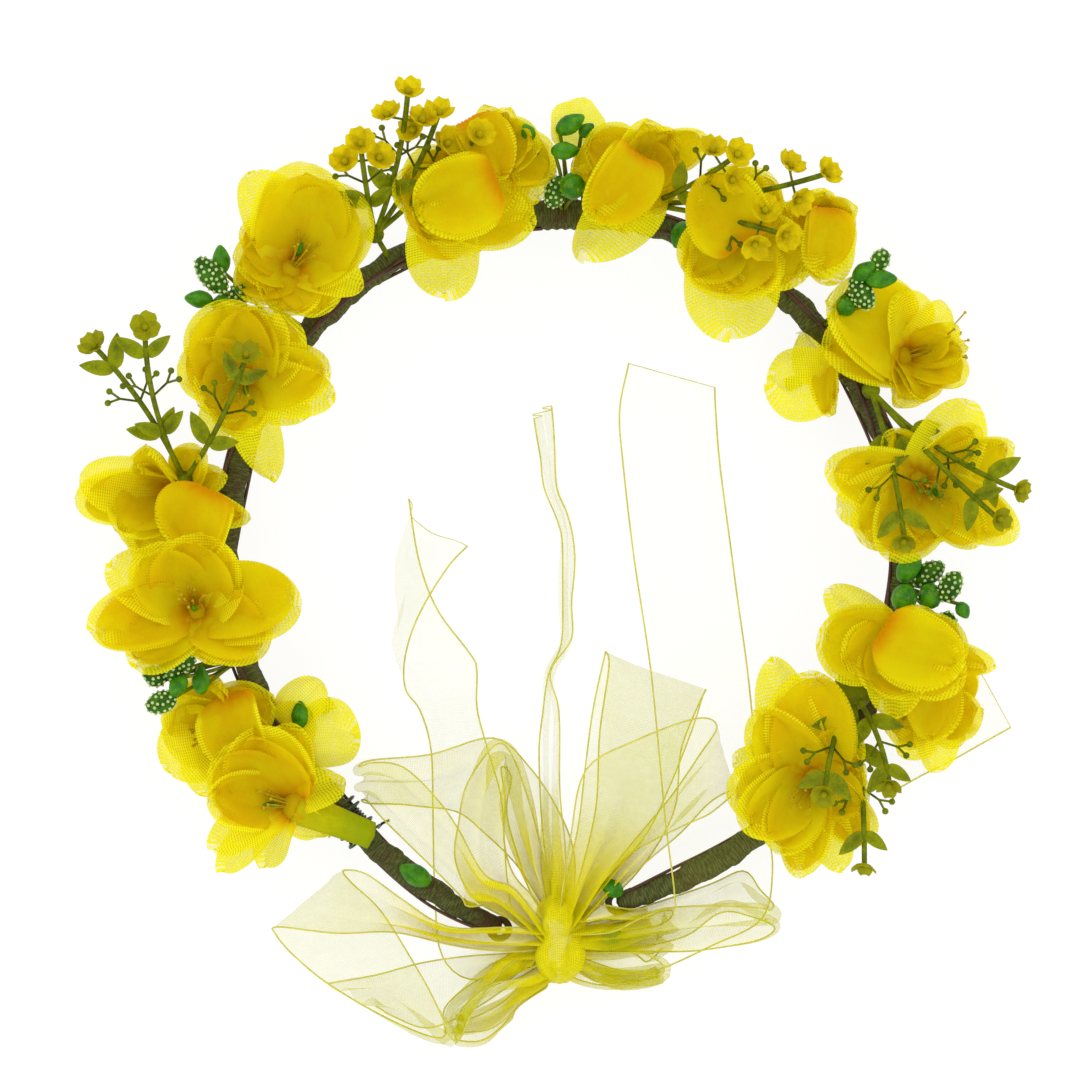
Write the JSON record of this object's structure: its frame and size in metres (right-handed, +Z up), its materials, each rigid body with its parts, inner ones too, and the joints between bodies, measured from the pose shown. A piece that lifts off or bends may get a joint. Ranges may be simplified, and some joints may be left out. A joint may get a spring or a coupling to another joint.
{
  "type": "flower crown",
  "caption": "Open taped-wire hoop carrying cloth blossoms, berry clusters and leafy sprigs, tied at the back with a sheer ribbon bow.",
  "frame": {"origin": "middle of the hoop, on the plane that the crown lies on", "axes": "+Z up out of the table, the tie and bow towards -Y, the front of the crown towards +Y"},
  "size_m": [0.2453, 0.2434, 0.06],
  "materials": {
    "floral_tape": "crepe paper tape, waxy matt dark green",
    "binding_wire": "thin enamelled wire, dark green",
    "petal_cloth": "open-weave cloth, yellow, frayed edges",
    "blossom_tube": "soft moulded plastic, yellow-green",
    "sprig_plastic": "moulded plastic, olive green with yellow tips",
    "berry_foam": "glossy green with pale dots",
    "organza": "sheer pale yellow organza ribbon with a firm selvage"
  },
  "bodies": {
    "left_half": {"arm_left": "floral_tape", "berries_1": "berry_foam", "berries_2": "berry_foam", "berries_5": "berry_foam", "binding_wire": "binding_wire", "petals_01": "petal_cloth", "petals_02": "petal_cloth", "petals_03": "petal_cloth", "petals_04": "petal_cloth", "petals_05": "petal_cloth", "petals_06": "petal_cloth", "petals_07": "petal_cloth", "petals_08": "petal_cloth", "petals_17": "petal_cloth", "sprig_1": "sprig_plastic", "sprig_2": "sprig_plastic", "tube_01": "blossom_tube", "tube_02": "blossom_tube", "tube_03": "blossom_tube", "tube_04": "blossom_tube", "tube_05": "blossom_tube", "tube_06": "blossom_tube", "tube_07": "blossom_tube", "tube_08": "blossom_tube", "tube_17": "blossom_tube"},
    "right_half": {"arm_right": "floral_tape", "berries_3": "berry_foam", "berries_4": "berry_foam", "lacing": "organza", "loose_end": "organza", "petals_09": "petal_cloth", "petals_10": "petal_cloth", "petals_11": "petal_cloth", "petals_12": "petal_cloth", "petals_13": "petal_cloth", "petals_14": "petal_cloth", "petals_15": "petal_cloth", "petals_16": "petal_cloth", "petals_18": "petal_cloth", "sprig_3": "sprig_plastic", "sprig_4": "sprig_plastic", "sprig_5": "sprig_plastic", "tube_09": "blossom_tube", "tube_10": "blossom_tube", "tube_11": "blossom_tube", "tube_12": "blossom_tube", "tube_13": "blossom_tube", "tube_14": "blossom_tube", "tube_15": "blossom_tube", "tube_16": "blossom_tube", "tube_18": "blossom_tube"},
    "bow": {"knot": "organza", "loop_left_back": "organza", "loop_left_front": "organza", "loop_left_side": "organza", "loop_right_back": "organza", "tail_curled": "organza", "tail_on_edge": "organza", "tail_wide": "organza"}
  },
  "joints": [
    {"name": "back_opening", "type": "hinge", "parent": "left_half", "child": "right_half", "pos_m": [0, 0.0995, 0.017], "axis": [0, 0, 1], "range_deg": [0, 8]},
    {"name": "bow_swing", "type": "hinge", "parent": "left_half", "child": "bow", "pos_m": [-0.0015, -0.1045, 0.019], "axis": [1, 0, 0], "range_deg": [0, 75]}
  ]
}
